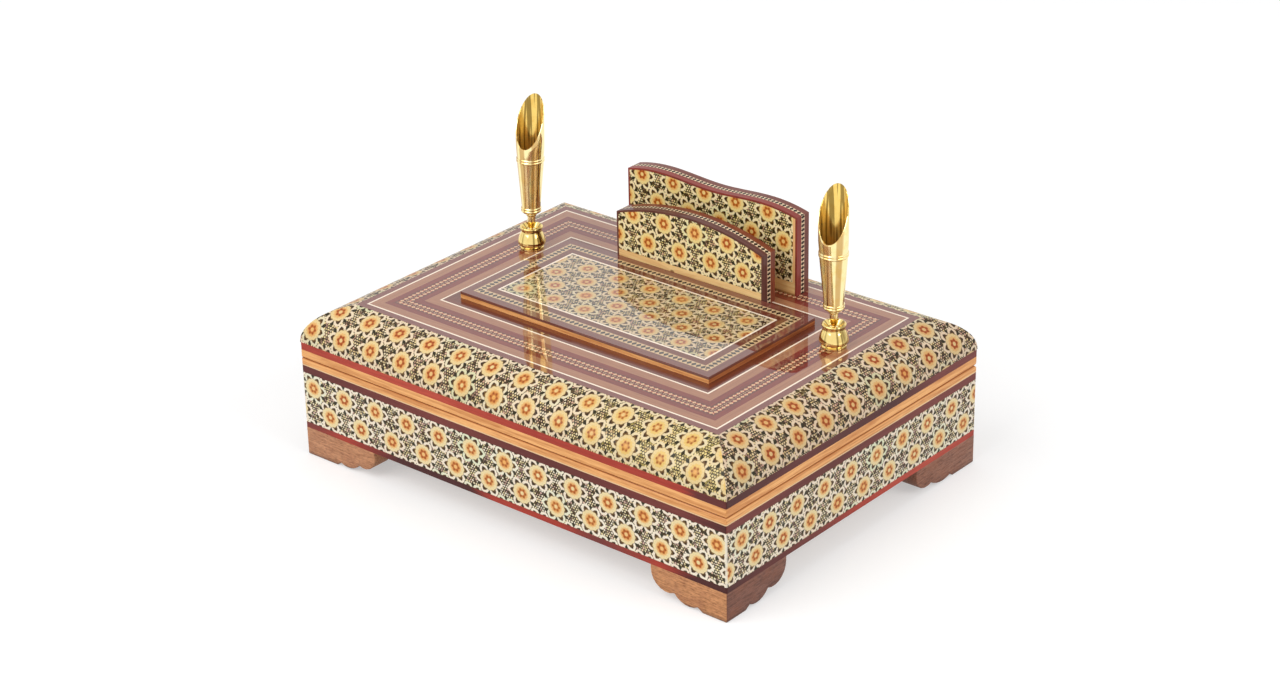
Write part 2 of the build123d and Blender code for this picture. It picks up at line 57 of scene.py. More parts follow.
class NodeSheet:
    # a node tree with short calls for the nodes that are wired most; newMaterial adds its material and the
    # sockets of the shader

    def __init__(self, tree):
        self.tree = tree

    def wire(self, value, socket):
        if isinstance(value, bpy.types.NodeSocket):
            self.tree.links.new(value, socket)
        else:
            socket.default_value = value

    def add(self, kind, inputs=None, **settings):
        node = self.tree.nodes.new("ShaderNode" + kind)
        for name, value in settings.items():
            setattr(node, name, value)
        for key, value in (inputs or {}).items():
            self.wire(value, node.inputs[key])
        return node

    def calc(self, operation, *values):
        return self.add("Math", dict(enumerate(values)), operation=operation).outputs[0]

    plus = partialmethod(calc, "ADD")
    minus = partialmethod(calc, "SUBTRACT")
    times = partialmethod(calc, "MULTIPLY")
    timesPlus = partialmethod(calc, "MULTIPLY_ADD")
    over = partialmethod(calc, "DIVIDE")
    absolute = partialmethod(calc, "ABSOLUTE")
    greater = partialmethod(calc, "MAXIMUM")
    above = partialmethod(calc, "GREATER_THAN")
    below = partialmethod(calc, "LESS_THAN")
    cosine = partialmethod(calc, "COSINE")
    sine = partialmethod(calc, "SINE")
    bearing = partialmethod(calc, "ARCTAN2")

    def wrap(self, value, half):
        # repeats from -half to half
        return self.calc("WRAP", value, half, -half)

    def length(self, x, y):
        return self.calc("SQRT", self.timesPlus(x, x, self.times(y, y)))

    def fade(self, value, start, end):
        # 0 at start, 1 at end, smooth between
        inputs = {0: value, 1: start, 2: end, 3: 0, 4: 1}
        return self.add("MapRange", inputs, interpolation_type="SMOOTHSTEP").outputs[0]

    def mix(self, factor, first, second, blend="MIX"):
        inputs = {0: factor, 6: first, 7: second}
        return self.add("Mix", inputs, data_type="RGBA", blend_type=blend).outputs[2]

    def lay(self, under, over, value, start, end, share=1):
        # one colour over another: none of it where value is start, its share where value is end
        factor = self.fade(value, start, end)
        return self.mix(factor if share == 1 else self.times(factor, share), under, over)

    def ramp(self, value, *stops):
        node = self.add("ValToRGB", {0: value})
        elements = node.color_ramp.elements
        while len(elements) < len(stops):
            elements.new(0.5)
        for element, (place, colour) in zip(elements, stops):
            element.position = place
            element.color = colour
        return node.outputs[0]

    def noise(self, vector, scale, detail=2, roughness=0.5, distortion=0.0):
        inputs = {"Vector": vector, "Scale": scale, "Detail": detail, "Roughness": roughness,
                  "Distortion": distortion}
        return self.add("TexNoise", inputs).outputs["Fac"]

    def chance(self, x, y):
        node = self.add("TexWhiteNoise", {"Vector": self.vector(x, y)}, noise_dimensions="2D")
        return node.outputs["Value"]

    def vector(self, x, y, z=0.0):
        return self.add("CombineXYZ", {0: x, 1: y, 2: z}).outputs[0]

    def spot(self):
        return self.add("TexCoord").outputs["Object"]

    def parts(self, vector):
        return self.add("SeparateXYZ", {0: vector}).outputs[:3]

    def place(self):
        # x, y and z on the object, in millimetres
        scaled = self.add("VectorMath", {0: self.spot(), "Scale": 1 / millimetre}, operation="SCALE")
        return self.parts(scaled.outputs[0])

    def bump(self, height, depth):
        # depth is in millimetres
        inputs = {"Height": height, "Distance": depth * millimetre, "Strength": 1.0}
        return self.add("Bump", inputs).outputs[0]

    def use(self, group, *values):
        node = self.add("Group", node_tree=group)
        for socket, value in zip(node.inputs, values):
            self.wire(value, socket)
        return node.outputs


def newGroup(name, inputs, outputs):
    group = bpy.data.node_groups.new(name, "ShaderNodeTree")
    for label in inputs:
        group.interface.new_socket(label, in_out="INPUT", socket_type="NodeSocketFloat")
    for label, kind in outputs.items():
        group.interface.new_socket(label, in_out="OUTPUT", socket_type="NodeSocket" + kind)
    sheet = NodeSheet(group)
    start = group.nodes.new("NodeGroupInput")
    end = group.nodes.new("NodeGroupOutput")
    return group, sheet, start.outputs, end.inputs


def newMaterial(name, **settings):
    material = bpy.data.materials.new(name)
    material.use_nodes = True
    sheet = NodeSheet(material.node_tree)
    sheet.material = material
    sheet.sockets = material.node_tree.nodes["Principled BSDF"].inputs
    for label, value in settings.items():
        sheet.sockets[label.replace("_", " ")].default_value = value
    return sheet


veneerDepth = -0.02     # mm, how deep the grain of a veneer lies


def finish(sheet, colour, bump=None, depth=veneerDepth, roughness=None):
    sheet.wire(colour, sheet.sockets["Base Color"])
    if bump is not None:
        sheet.wire(sheet.bump(bump, depth), sheet.sockets["Normal"])
    if roughness is not None:
        sheet.wire(roughness, sheet.sockets["Roughness"])
    return sheet.material


lacquer = {
    # coat weight, roughness and refractive index: thin on uprights, thicker on the lid's top and the panel
    "coats": {"upright": (0.3, 0.06, 1.5), "top": (1.0, 0.02, 1.6), "panel": (1.0, 0.02, 1.8)},
    "underRoughness": 0.5,
    "underSpecular": 0.1,
    "waveSize": 14,         # mm, the slow waviness of the brushed lacquer
    "waveDepth": 0.02,      # mm
}


def newLacquered(name, coat="upright"):
    weight, roughness, index = lacquer["coats"][coat]
    sheet = newMaterial(
        name, Roughness=lacquer["underRoughness"], Specular_IOR_Level=lacquer["underSpecular"],
        Coat_Weight=weight, Coat_Roughness=roughness, Coat_IOR=index)
    waves = sheet.noise(sheet.spot(), 1 / (lacquer["waveSize"] * millimetre), 1)
    sheet.wire(sheet.bump(waves, lacquer["waveDepth"]), sheet.sockets["Coat Normal"])
    return sheet


def dress(material, *names):
    for name in names:
        mesh = cadNodes[name].data
        mesh.materials.clear()
        mesh.materials.append(material)


def nearestCentre(sheet, along, across, pitch, row):
    # the offset from the nearest centre of two staggered lattices, and that centre's random number
    half = pitch / 2
    firstX, firstY = sheet.wrap(along, half), sheet.wrap(across, row)
    secondX, secondY = sheet.wrap(sheet.minus(along, half), half), sheet.wrap(sheet.minus(across, row), row)
    nearer = sheet.below(sheet.length(secondX, secondY), sheet.length(firstX, firstY))
    x = sheet.timesPlus(nearer, sheet.minus(secondX, firstX), firstX)
    y = sheet.timesPlus(nearer, sheet.minus(secondY, firstY), firstY)
    column = sheet.calc("ROUND", sheet.over(sheet.minus(along, x), half))
    line = sheet.calc("ROUND", sheet.over(sheet.minus(across, y), row))
    return x, y, sheet.length(x, y), sheet.chance(column, line)


# one flower of the star marquetry, in millimetres from its centre
starPattern = {
    "pitch": 19.0,          # between flowers of a row
    "row": 12.0,            # between rows
    "discRadius": 4.8,
    "discBody": 3.3,        # beyond this the disc is a paler, scalloped border
    "discHeart": (2.4, 3.3),
    "scallops": 12,
    "scallopDepth": 0.16,
    "bodyWave": -0.2,
    "ringRadius": 2.2,
    "ringWave": 0.3,
    "spotPlace": 1.75,
    "petalHalfWidth": 2.4,
    "petalTip": 8.3,
    "petalSlope": 0.85,
    "petalOutline": 1.15,
    "heartPlace": 6.1,
    "gapPlace": 7.9,        # the dark wedges between the petals start here
    "dotPitch": (1.35, 1.18),
    "dotRadius": 0.42,
    "dotSpread": 0.14,
    "betweenPlace": 3.5,    # the small stars between the flowers lie this far above and below the row
    "betweenRadius": 1.15,
    "betweenWave": 0.4,
    "jointPitch": 0.55,     # half the distance between the fine joints
    "jointShade": 0.16,
    "disc": tint(250, 214, 156),
    "innerDisc": tint(238, 174, 96),
    "paleDisc": tint(248, 220, 142),
    "warmDisc": tint(246, 198, 134),
    "ring": tint(196, 104, 36),
    "warmRing": tint(184, 78, 24),
    "spots": tint(150, 78, 22),
    "centre": tint(252, 190, 104),
    "petalWhite": tint(255, 250, 236),
    "petalPink": tint(252, 240, 224),
    "petalGreen": tint(232, 242, 214),
    "petalYellow": tint(238, 234, 168),
    "petalInside": tint(122, 92, 46),
    "petalDark": tint(78, 56, 28),
    "petalHeart": tint(46, 28, 12),
    "discEdge": tint(248, 232, 184),
    "green": tint(44, 42, 18),
    "dark": tint(24, 14, 4),
    "olive": tint(84, 64, 30),
    "cream": tint(250, 236, 182),
    "yellow": tint(250, 240, 152),
    "pink": tint(232, 196, 186),
}


def buildStarPattern():
    own = starPattern
    # warmth runs from 0, pale yellow flowers, to 1, orange ones
    group, sheet, given, result = newGroup("starMarquetry", ["Along", "Across", "Warmth"],
                                           {"Color": "Color", "Height": "Float"})
    mix, lay, absolute = sheet.mix, sheet.lay, sheet.absolute
    times, minus, timesPlus = sheet.times, sheet.minus, sheet.timesPlus
    along, across, warmth = given[:3]
    x, y, radius, chance = nearestCentre(sheet, along, across, own["pitch"], own["row"])
    second = sheet.chance(chance, 7.0)
    pale = sheet.fade(warmth, 0.4, 0.0)
    angle = sheet.bearing(y, x)
    wave = sheet.cosine(times(angle, 6))
    scallop = sheet.cosine(times(angle, own["scallops"]))
    halfPetal = math.radians(30)

    def fold(turn):
        near = sheet.wrap(turn, halfPetal)
        return times(radius, sheet.cosine(near)), times(radius, sheet.sine(near))
    petalX, petalY = fold(angle)
    gapX, gapY = fold(sheet.plus(angle, halfPetal))
    petalSide = absolute(petalY)

    # ground: fine light bits in the dark
    _, _, dotRadius, dotChance = nearestCentre(sheet, along, across, *own["dotPitch"])
    dotColour = sheet.ramp(dotChance, (0.0, own["cream"]), (0.4, own["petalWhite"]), (0.65, own["cream"]),
                           (0.8, own["pink"]), (0.92, own["olive"]))
    dotColour = mix(times(pale, 0.45), dotColour, own["yellow"])
    ground = mix(sheet.chance(dotChance, 3.0), own["dark"], own["olive"])
    ground = mix(0.55, ground, own["dark"])
    dotEdge = sheet.plus(times(dotChance, own["dotSpread"]), timesPlus(pale, 0.04, own["dotRadius"]))
    colour = lay(ground, dotColour, minus(dotRadius, dotEdge), 0.12, -0.1)

    # small bright stars above and below the middle between two flowers of a row
    betweenX = minus(absolute(x), own["pitch"] / 2)
    betweenY = minus(absolute(y), own["betweenPlace"])
    betweenWave = sheet.cosine(times(sheet.bearing(betweenY, betweenX), 6))
    starDepth = minus(sheet.length(betweenX, betweenY),
                      timesPlus(betweenWave, own["betweenWave"], own["betweenRadius"]))
    colour = lay(colour, own["dark"], starDepth, 1.1, 0.4, 0.9)
    colour = lay(colour, mix(second, own["yellow"], own["pink"]), starDepth, 0.12, -0.12)

    # dark green wedges between the petals
    gapDepth = timesPlus(minus(gapX, own["gapPlace"]), 0.6, absolute(gapY))
    colour = lay(colour, own["green"], gapDepth, 0.2, -0.1)

    # petals: thick light outlines round brown shields with a dark heart
    tipDepth = timesPlus(petalSide, own["petalSlope"], minus(petalX, own["petalTip"]))
    petal = sheet.calc("SMOOTH_MAX", minus(petalSide, own["petalHalfWidth"]), times(tipDepth, 0.76), 0.6)
    outline = sheet.ramp(chance, (0.0, own["petalWhite"]), (0.45, own["petalPink"]),
                         (0.75, own["petalWhite"]), (1.0, own["petalGreen"]))
    outline = mix(times(pale, 0.3), outline, own["petalYellow"])
    inside = mix(second, own["petalInside"], own["petalDark"])
    colour = lay(colour, outline, petal, 0.14, -0.08)
    colour = lay(colour, inside, petal, 0.14 - own["petalOutline"], -0.1 - own["petalOutline"])
    heart = sheet.length(minus(petalX, own["heartPlace"]), petalY)
    colour = lay(colour, own["petalHeart"], heart, 0.75, 0.4, 0.85)

    # disc with softly scalloped edge, paler outwards
    edge = own["discRadius"]
    disc = lay(own["innerDisc"], own["disc"], radius, *own["discHeart"])
    disc = lay(disc, own["paleDisc"], warmth, 0.5, 0.0)
    disc = lay(disc, own["warmDisc"], warmth, 0.5, 1.0, 0.8)
    disc = mix(times(second, 0.25), disc, own["cream"])
    bodyDepth = minus(radius, timesPlus(scallop, own["bodyWave"], own["discBody"]))
    disc = lay(disc, own["discEdge"], bodyDepth, -0.15, 0.35)
    colour = lay(colour, own["petalInside"], radius, edge + 0.5, edge + 0.1, 0.6)
    discDepth = minus(radius, timesPlus(scallop, own["scallopDepth"], edge))
    colour = lay(colour, disc, discDepth, 0.14, -0.14)

    # ring with six dark spots and a bright centre
    ringTone = lay(own["ring"], own["warmRing"], warmth, 0.4, 1.0)
    ringTone = mix(times(pale, 0.4), ringTone, own["paleDisc"])
    ringTone = mix(times(chance, timesPlus(warmth, -0.6, 0.75)), ringTone, own["innerDisc"])
    ringDepth = minus(radius, timesPlus(wave, own["ringWave"], own["ringRadius"]))
    colour = lay(colour, ringTone, ringDepth, 0.3, -0.25)
    spot = sheet.length(minus(petalX, own["spotPlace"]), petalY)
    colour = lay(colour, own["spots"], spot, 0.6, 0.25, 0.8)
    colour = lay(colour, mix(second, own["centre"], own["cream"]), radius, 1.15, 0.7)

    # the fine joints of the small triangles, in three directions
    joints = 0.0
    for degrees in (0, 60, 120):
        turn = math.radians(degrees)
        lane = timesPlus(along, math.sin(turn), times(across, math.cos(turn)))
        joints = sheet.greater(sheet.fade(absolute(sheet.wrap(lane, own["jointPitch"])), 0.1, 0.02), joints)
    colour = mix(times(joints, own["jointShade"]), colour, own["petalDark"])
    sheet.wire(colour, result[0])
    sheet.wire(joints, result[1])
    return group


def buildFrameCoordinates():
    # for mitred pieces round a rectangle: the distance along a piece and its distance from the outer edge
    group, sheet, given, result = newGroup("frameCoordinates", ["X", "Y", "HalfLength", "HalfDepth"],
                                           {"Along": "Float", "Inset": "Float", "Side": "Float"})
    x, y, halfLength, halfDepth = given[:4]
    fromSide = sheet.minus(halfLength, sheet.absolute(x))
    fromFront = sheet.minus(halfDepth, sheet.absolute(y))
    side = sheet.below(fromSide, fromFront)
    sheet.wire(sheet.timesPlus(side, sheet.minus(y, x), x), result[0])
    sheet.wire(sheet.calc("MINIMUM", fromSide, fromFront), result[1])
    sheet.wire(side, result[2])
    return group


starGroup = buildStarPattern()
frameGroup = buildFrameCoordinates()

# star marquetry of the case, the lid, the panel and the plates
starPlaces = {
    # the axis along the rows, one flower's place along and across, and this surface's own pitch and row;
    # warmth is given for the left or front end and for the other one; the veil is painted shade over the
    # whole, darkest on the lid's sides
    # on the base's front and side a painted highlight runs down the upright corners
    "baseFront": {"node": "base_long_khatam", "axis": 0, "flower": (-118.2, 36.0), "size": (19.85, 12.0),
                  "warmth": (0.65, 0.45), "shadeVeil": tint(255, 252, 246), "wearAndHighlight": True},
    "baseSide": {"node": "base_short_khatam", "axis": 1, "flower": (-81.9, 35.6), "size": (19.3, 11.6),
                 "warmth": (0.6, 0.6), "shadeVeil": tint(250, 246, 240), "wearAndHighlight": True},
    # the lid front's paler right end is partly a painted highlight, partly the flowers' own paler tone
    "lidFront": {"node": "lid_long_khatam", "axis": 0, "flower": (-118.7, 7.5), "size": (18.8, 12.0),
                 "warmth": (0.75, 0.0), "shadeVeil": tint(240, 229, 210), "cove": True},
    "lidSide": {"node": "lid_short_khatam", "axis": 1, "flower": (-77.9, 8.1), "size": (19.3, 12.0),
                "warmth": (0.8, 1.0), "shadeVeil": tint(226, 211, 194), "cove": True},
    "panel": {"node": "panel_khatam", "axis": 0, "flower": (13.3, 17.0), "size": (18.8, 11.7),
              "warmth": (0.5, 0.5), "shadeVeil": tint(222, 206, 180), "flat": True},
    "plates": {"node": "card_plate_khatam", "axis": 0, "flower": (3.7, 101.0), "size": (18.6, 12.2),
               "warmth": (0.7, 0.7), "shadeVeil": tint(255, 248, 212), "frontLift": 0.5, "bareEnd": 46.2},
}
starFinish = {
    "cloud": tint(214, 180, 120),
    # colour of the painted highlight down the upright corners
    "paintedCornerHighlight": tint(244, 234, 214),
    "bareWood": tint(238, 186, 124),
    "bareFace": 57.5,           # the taller plate's front face
    "betweenPlates": 52.0,      # behind the front plate, in front of the taller one
    "wander": (1.2, 0.8),       # mm, how far the rows wander along and across
    "wanderScale": 0.03,
    "cloudScale": 0.05,
    "cloudShare": 0.2,
    "coveBulge": 1.473,         # the cove is a little longer than a plain arc towards its top
}


def starMaterial(name):
    own, shared = starPlaces[name], starFinish
    sheet = newLacquered("khatam_" + name, "panel" if own.get("flat") else "upright")
    minus, times, timesPlus = sheet.minus, sheet.times, sheet.timesPlus
    place = sheet.place()
    along = place[own["axis"]]
    across = place[1] if own.get("flat") else place[2]
    if own.get("cove"):
        rise = sheet.over(minus(place[2], caseSize["coveBottom"]), caseSize["coveRadius"])
        turn = sheet.calc("ARCSINE", rise)
        across = timesPlus(sheet.calc("POWER", turn, 3.0), shared["coveBulge"],
                           times(turn, caseSize["coveRadius"]))
    if own.get("frontLift"):
        across = minus(across, times(sheet.below(place[1], shared["betweenPlates"]), own["frontLift"]))
    pitch, row = own["size"]
    patternAlong = times(minus(along, own["flower"][0]), starPattern["pitch"] / pitch)
    patternAcross = times(minus(across, own["flower"][1]), starPattern["row"] / row)
    # the rows wander a little
    surface = sheet.vector(along, across)
    drift = sheet.add("TexNoise", {"Vector": surface, "Scale": shared["wanderScale"], "Detail": 1})
    shift = sheet.parts(drift.outputs["Color"])
    patternAlong = timesPlus(minus(shift[0], 0.5), shared["wander"][0], patternAlong)
    patternAcross = timesPlus(minus(shift[1], 0.5), shared["wander"][1], patternAcross)
    near, far = own["warmth"]
    half = caseHalf[own["axis"]]
    warmth = timesPlus(sheet.fade(along, -0.4 * half, 0.8 * half), far - near, near)
    colour, joints = sheet.use(starGroup, patternAlong, patternAcross, warmth)[:2]
    cloud = times(sheet.noise(surface, shared["cloudScale"], 2), shared["cloudShare"])
    colour = sheet.mix(cloud, colour, shared["cloud"], "MULTIPLY")
    # painted shade: each surface is darkened by its own veil
    colour = sheet.mix(1.0, colour, own["shadeVeil"], "MULTIPLY")
    if own.get("wearAndHighlight"):
        # painted highlight down the upright corners, patchy along their height
        fromCorner = sheet.plus(minus(caseHalf[0], sheet.absolute(place[0])),
                                minus(caseHalf[1], sheet.absolute(place[1])))
        patchy = sheet.fade(sheet.noise(sheet.vector(place[2], 0.0), 0.25, 2), 0.3, 0.5)
        cornerHighlight = times(sheet.fade(fromCorner, 1.0, 0.5), timesPlus(patchy, 0.6, 0.3))
        colour = sheet.mix(cornerHighlight, colour, shared["paintedCornerHighlight"])
    if own.get("bareEnd"):
        # a narrow strip of light wood up the right end of the taller plate's front
        fromFace = sheet.absolute(minus(place[1], shared["bareFace"]))
        bare = times(sheet.above(place[0], own["bareEnd"]), sheet.below(fromFace, 2.0))
        colour = sheet.mix(bare, colour, shared["bareWood"])
    return finish(sheet, colour, joints, -0.01)


for name, own in starPlaces.items():
    dress(starMaterial(name), own["node"])
print("star marquetry dressed")

# woods and veneers
woods = {
    # light tone, dark tone, width of the grain in mm, and how far its lines show
    "lightWood": (tint(250, 186, 118), tint(184, 104, 46), 0.8, 0.8),
    "tanVeneer": (tint(170, 116, 84), tint(136, 84, 58), 0.6, 0.6),
    "purple": (tint(122, 64, 50), tint(86, 40, 32), 0.5, 0.6),
    "mauve": (tint(128, 70, 60), tint(96, 44, 38), 0.5, 0.6),
    "darkRed": (tint(130, 48, 34), tint(90, 28, 20), 0.5, 0.6),
    "white": (tint(254, 236, 214), tint(240, 212, 184), 0.5, 0.4),
    "field": (tint(112, 50, 26), tint(76, 30, 16), 0.7, 0.5),
    "coreBoard": (tint(206, 160, 110), tint(170, 122, 78), 1.2, 0.6),
}
sideLane = 37.0         # keeps the grain of short sides apart from that of long ones


def frameLane(sheet, half, apart=sideLane):
    # x, y and z, then the way along a mitred frame, the lane across it, and whether it is a short side
    place = sheet.place()
    along, inset, side = sheet.use(frameGroup, place[0], place[1], *half)[:3]
    return place, along, sheet.timesPlus(side, apart, inset), side


def grainFactor(sheet, along, across, third, width):
    # long streaks along a piece: broad figure and fine pores together
    broad = sheet.noise(sheet.vector(sheet.times(along, 0.03 / width), across, third),
                        0.55 / width, 3, 0.55, 0.4)
    fine = sheet.noise(sheet.vector(sheet.times(along, 0.05), across, third), 2.4 / width, 2)
    return sheet.plus(sheet.times(sheet.fade(broad, 0.36, 0.66), 0.65),
                      sheet.times(sheet.fade(fine, 0.4, 0.7), 0.35))


def woodGrain(sheet, kind, half):
    # the place, the side, the grain and the colour of a wood on a mitred frame
    place, along, lane, side = frameLane(sheet, half)
    light, dark, width, contrast = woods[kind]
    grain = grainFactor(sheet, along, lane, place[2], width)
    return place, side, grain, sheet.mix(sheet.times(grain, contrast), light, dark)


framePieces = {
    # each wood, the frame it runs round, its coat and its nodes
    "top_border": ("mauve", caseHalf, "top", ["lid_top_border"]),
    "top_white_lines": ("white", caseHalf, "top", ["lid_top_white_lines"]),
    "top_tan_bands": ("tanVeneer", caseHalf, "top", ["lid_top_tan_bands"]),
    "top_red_lines": ("darkRed", caseHalf, "top", ["lid_top_red_lines"]),
    "top_field": ("field", caseHalf, "top", ["lid_top_field"]),
    "panel_border_wood": ("purple", panelHalf, "panel", ["panel_border"]),
    "panel_inner_wood": ("field", panelHalf, "panel", ["panel_inner_band"]),
    "panel_line_wood": ("white", panelHalf, "panel", ["panel_white_line"]),
    "core_wood": ("coreBoard", caseHalf, "top", [
        "base_front_wall", "base_back_wall", "base_left_wall", "base_right_wall", "lid_front_cove",
        "lid_back_cove", "lid_left_cove", "lid_right_cove", "base_bottom_board", "lid_top_board", "base_lip",
        "card_front_plate", "card_back_plate"]),
}

for name, (kind, half, coat, nodes) in framePieces.items():
    sheet = newLacquered(name, coat)
    _, _, grain, colour = woodGrain(sheet, kind, half)
    dress(finish(sheet, colour, grain), *nodes)

# the light wood rims: fine brown lines, a line of painted shade at the seam and a pale one at the stripes
rimLook = {
    "seamShade": tint(180, 106, 50),
    "seamShadeWidth": 0.55,
    "paleLine": tint(238, 212, 168),
    "paleWidth": 0.8,
    "paleFrom": 46.4,
}


def rimMaterial():
    own = rimLook
    sheet = newLacquered("light_wood_rims")
    (_, _, z), _, grain, colour = woodGrain(sheet, "lightWood", caseHalf)
    fromStripe = sheet.minus(z, own["paleFrom"])
    colour = sheet.lay(colour, own["paleLine"], fromStripe, own["paleWidth"], 0.3, 0.7)
    # painted shade along the seam between lid and base
    fromSeam = sheet.absolute(sheet.minus(z, caseSize["seam"]))
    colour = sheet.lay(colour, own["seamShade"], fromSeam, own["seamShadeWidth"], 0.3, 0.85)
    return finish(sheet, colour, grain)


# the panel's board: light wood, with painted shade on its short sides and a dark line along its top
boardLook = {
    "top": 77.5,
    "glue": tint(70, 34, 20),
    "sideShade": tint(150, 84, 46),
}


def boardMaterial():
    own = boardLook
    sheet = newLacquered("panel_wood")
    (_, _, z), side, grain, colour = woodGrain(sheet, "lightWood", panelHalf)
    # painted shade on the short sides
    colour = sheet.mix(sheet.times(side, 0.75), colour, own["sideShade"], "MULTIPLY")
    colour = sheet.lay(colour, own["glue"], z, own["top"] - 0.45, own["top"] - 0.2, 0.8)
    return finish(sheet, colour, grain)


dress(rimMaterial(), "base_rim", "lid_rim")
dress(boardMaterial(), "panel_board")

# dyed stripes: each is one tone over its height and changes along its length
stripeTones = {
    "red": tint(176, 60, 44),
    "brightRed": tint(196, 78, 58),
    "purple": tint(100, 42, 38),
    "mauve": tint(122, 56, 50),
    "dark": tint(74, 28, 26),
    "grain": tint(190, 165, 155),
}
stripeRuns = {
    # tones from left to right along the front and from front to back along a side, from 0 to 1
    ("lid", "front"): [(0.0, "red"), (0.3, "brightRed"), (0.55, "red"), (0.9, "red"), (0.94, "purple")],
    ("upper", "front"): [(0.0, "purple"), (0.35, "mauve"), (0.6, "purple"), (0.9, "mauve"), (1.0, "dark")],
    ("lower", "front"): [(0.0, "mauve"), (0.1, "red"), (0.24, "dark"), (0.42, "dark"), (0.47, "red"),
                         (0.62, "red"), (0.72, "mauve"), (0.86, "red"), (0.93, "dark")],
    ("lid", "side"): [(0.0, "dark"), (0.3, "purple"), (0.65, "dark"), (0.85, "mauve")],
    ("upper", "side"): [(0.0, "mauve"), (0.4, "purple"), (0.7, "mauve")],
    ("lower", "side"): [(0.0, "dark"), (0.35, "mauve"), (0.5, "red"), (0.8, "brightRed"), (1.0, "red")],
}
betweenStripes = 30.0       # mm above the desk, between the lower and the upper stripe


def stripeMaterial():
    sheet = newLacquered("dyed_stripes")
    (_, _, z), along, lane, side = frameLane(sheet, caseHalf)
    whole = sheet.timesPlus(side, 2.0 * (caseHalf[1] - caseHalf[0]), 2.0 * caseHalf[0])
    share = sheet.plus(sheet.over(along, whole), 0.5)
    sway = sheet.noise(sheet.vector(sheet.times(along, 0.05), z), 1.0, 1)
    share = sheet.timesPlus(sheet.minus(sway, 0.5), 0.06, share)

    def run(level, face):
        return sheet.ramp(share, *[(place, stripeTones[tone]) for place, tone in stripeRuns[level, face]])

    def either(level):
        return sheet.mix(side, run(level, "front"), run(level, "side"))
    colour = sheet.mix(sheet.above(z, betweenStripes), either("lower"), either("upper"))
    colour = sheet.mix(sheet.above(z, caseSize["seam"]), colour, either("lid"))
    grain = grainFactor(sheet, along, lane, z, 0.5)
    colour = sheet.mix(sheet.times(grain, 0.5), colour, stripeTones["grain"], "MULTIPLY")
    return finish(sheet, colour, grain)


dress(stripeMaterial(), "base_stripes", "lid_lower_stripe")

# edgings of the card plates: a front and a back band on each
plateEdges = {
    "card_front_plate_edging": {"front": (tint(108, 64, 54), tint(80, 42, 36)),
                                "back": (tint(132, 66, 40), tint(98, 40, 24)), "middle": 43.0},
    "card_back_plate_edging": {"front": (tint(150, 62, 52), tint(120, 48, 42)),
                               "back": (tint(126, 72, 62), tint(94, 50, 42)), "middle": 61.5},
}


def plateEdgeMaterial(name):
    own = plateEdges[name]
    sheet = newLacquered(name + "_wood")
    x, y, z = sheet.place()
    grain = grainFactor(sheet, sheet.plus(x, z), y, 0.0, 0.5)
    back = sheet.above(y, own["middle"])
    colour = sheet.mix(back, sheet.mix(grain, *own["front"]), sheet.mix(grain, *own["back"]))
    return finish(sheet, colour, grain)


for name in plateEdges:
    dress(plateEdgeMaterial(name), name)

footStrip = {
    "light": tint(248, 212, 146),
    "dark": tint(206, 142, 74),
    "knot": tint(120, 66, 30),
    "knotLeft": 10.0,
    "knotHeight": 78.6,
    "lowerEdge": tint(132, 78, 36),
    "edgeHeight": (76.5, 75.8),
}


def footStripMaterial():
    # pale wood with a brown lower edge and one knot on the taller plate
    own = footStrip
    sheet = newLacquered("foot_strip_wood")
    x, y, z = sheet.place()
    fromKnot = sheet.length(sheet.plus(x, own["knotLeft"]),
                            sheet.times(sheet.minus(z, own["knotHeight"]), 1.6))
    bend = sheet.over(6.0, sheet.plus(fromKnot, 2.0))
    grain = grainFactor(sheet, x, y, sheet.plus(z, bend), 0.8)
    colour = sheet.mix(sheet.times(grain, 0.55), own["light"], own["dark"])
    colour = sheet.lay(colour, own["knot"], fromKnot, 1.6, 0.6, 0.8)
    colour = sheet.lay(colour, own["lowerEdge"], z, *own["edgeHeight"], 0.7)
    return finish(sheet, colour, grain)


dress(footStripMaterial(), "card_plate_foot_strips")

# chain bands
chains = {
    "top": {"inset": (31.3, 37.7), "step": 2.6, "link": 1.0, "ground": tint(92, 36, 22),
            "cream": tint(228, 184, 142), "bits": tint(184, 86, 56)},
    "panel": {"inset": (4.0, 8.4), "step": 2.6, "link": 1.25, "ground": tint(212, 178, 134),
              "dark": tint(40, 24, 8), "edge": tint(96, 50, 30)},
    "plates": {"halfWidth": 1.3, "step": 2.1, "link": 1.0, "ground": tint(238, 212, 174),
               "dark": tint(34, 14, 6), "edge": tint(112, 60, 40)},
}


def frameBand(sheet, half, own):
    # the way along a band of a mitred frame, the offset from its middle, and half its width
    x, y = sheet.place()[:2]
    along, inset = sheet.use(frameGroup, x, y, *half)[:2]
    start, end = own["inset"]
    return along, sheet.minus(inset, (start + end) / 2), (end - start) / 2


def topChainMaterial():
    # two staggered rows of small light links and a row of bits between them
    own = chains["top"]
    sheet = newLacquered("top_chain_band", "top")
    plus, minus, absolute, lay = sheet.plus, sheet.minus, sheet.absolute, sheet.lay
    along, offset, halfWidth = frameBand(sheet, caseHalf, own)
    half = own["step"] / 2
    fromRow = minus(absolute(offset), halfWidth / 2)
    slide = sheet.times(sheet.above(offset, 0.0), half)
    fromLink = absolute(sheet.wrap(plus(along, slide), half))
    link = plus(fromLink, absolute(fromRow))
    between = plus(minus(half, fromLink), absolute(fromRow))
    colour = lay(own["ground"], own["bits"], between, 0.8, 0.5)
    colour = lay(colour, own["cream"], link, own["link"] + 0.2, own["link"] - 0.15)
    colour = lay(colour, own["bits"], link, 0.45, 0.2, 0.6)
    middle = plus(absolute(sheet.wrap(along, half / 2)), sheet.times(absolute(offset), 1.6))
    return finish(sheet, lay(colour, own["cream"], middle, 0.55, 0.3))


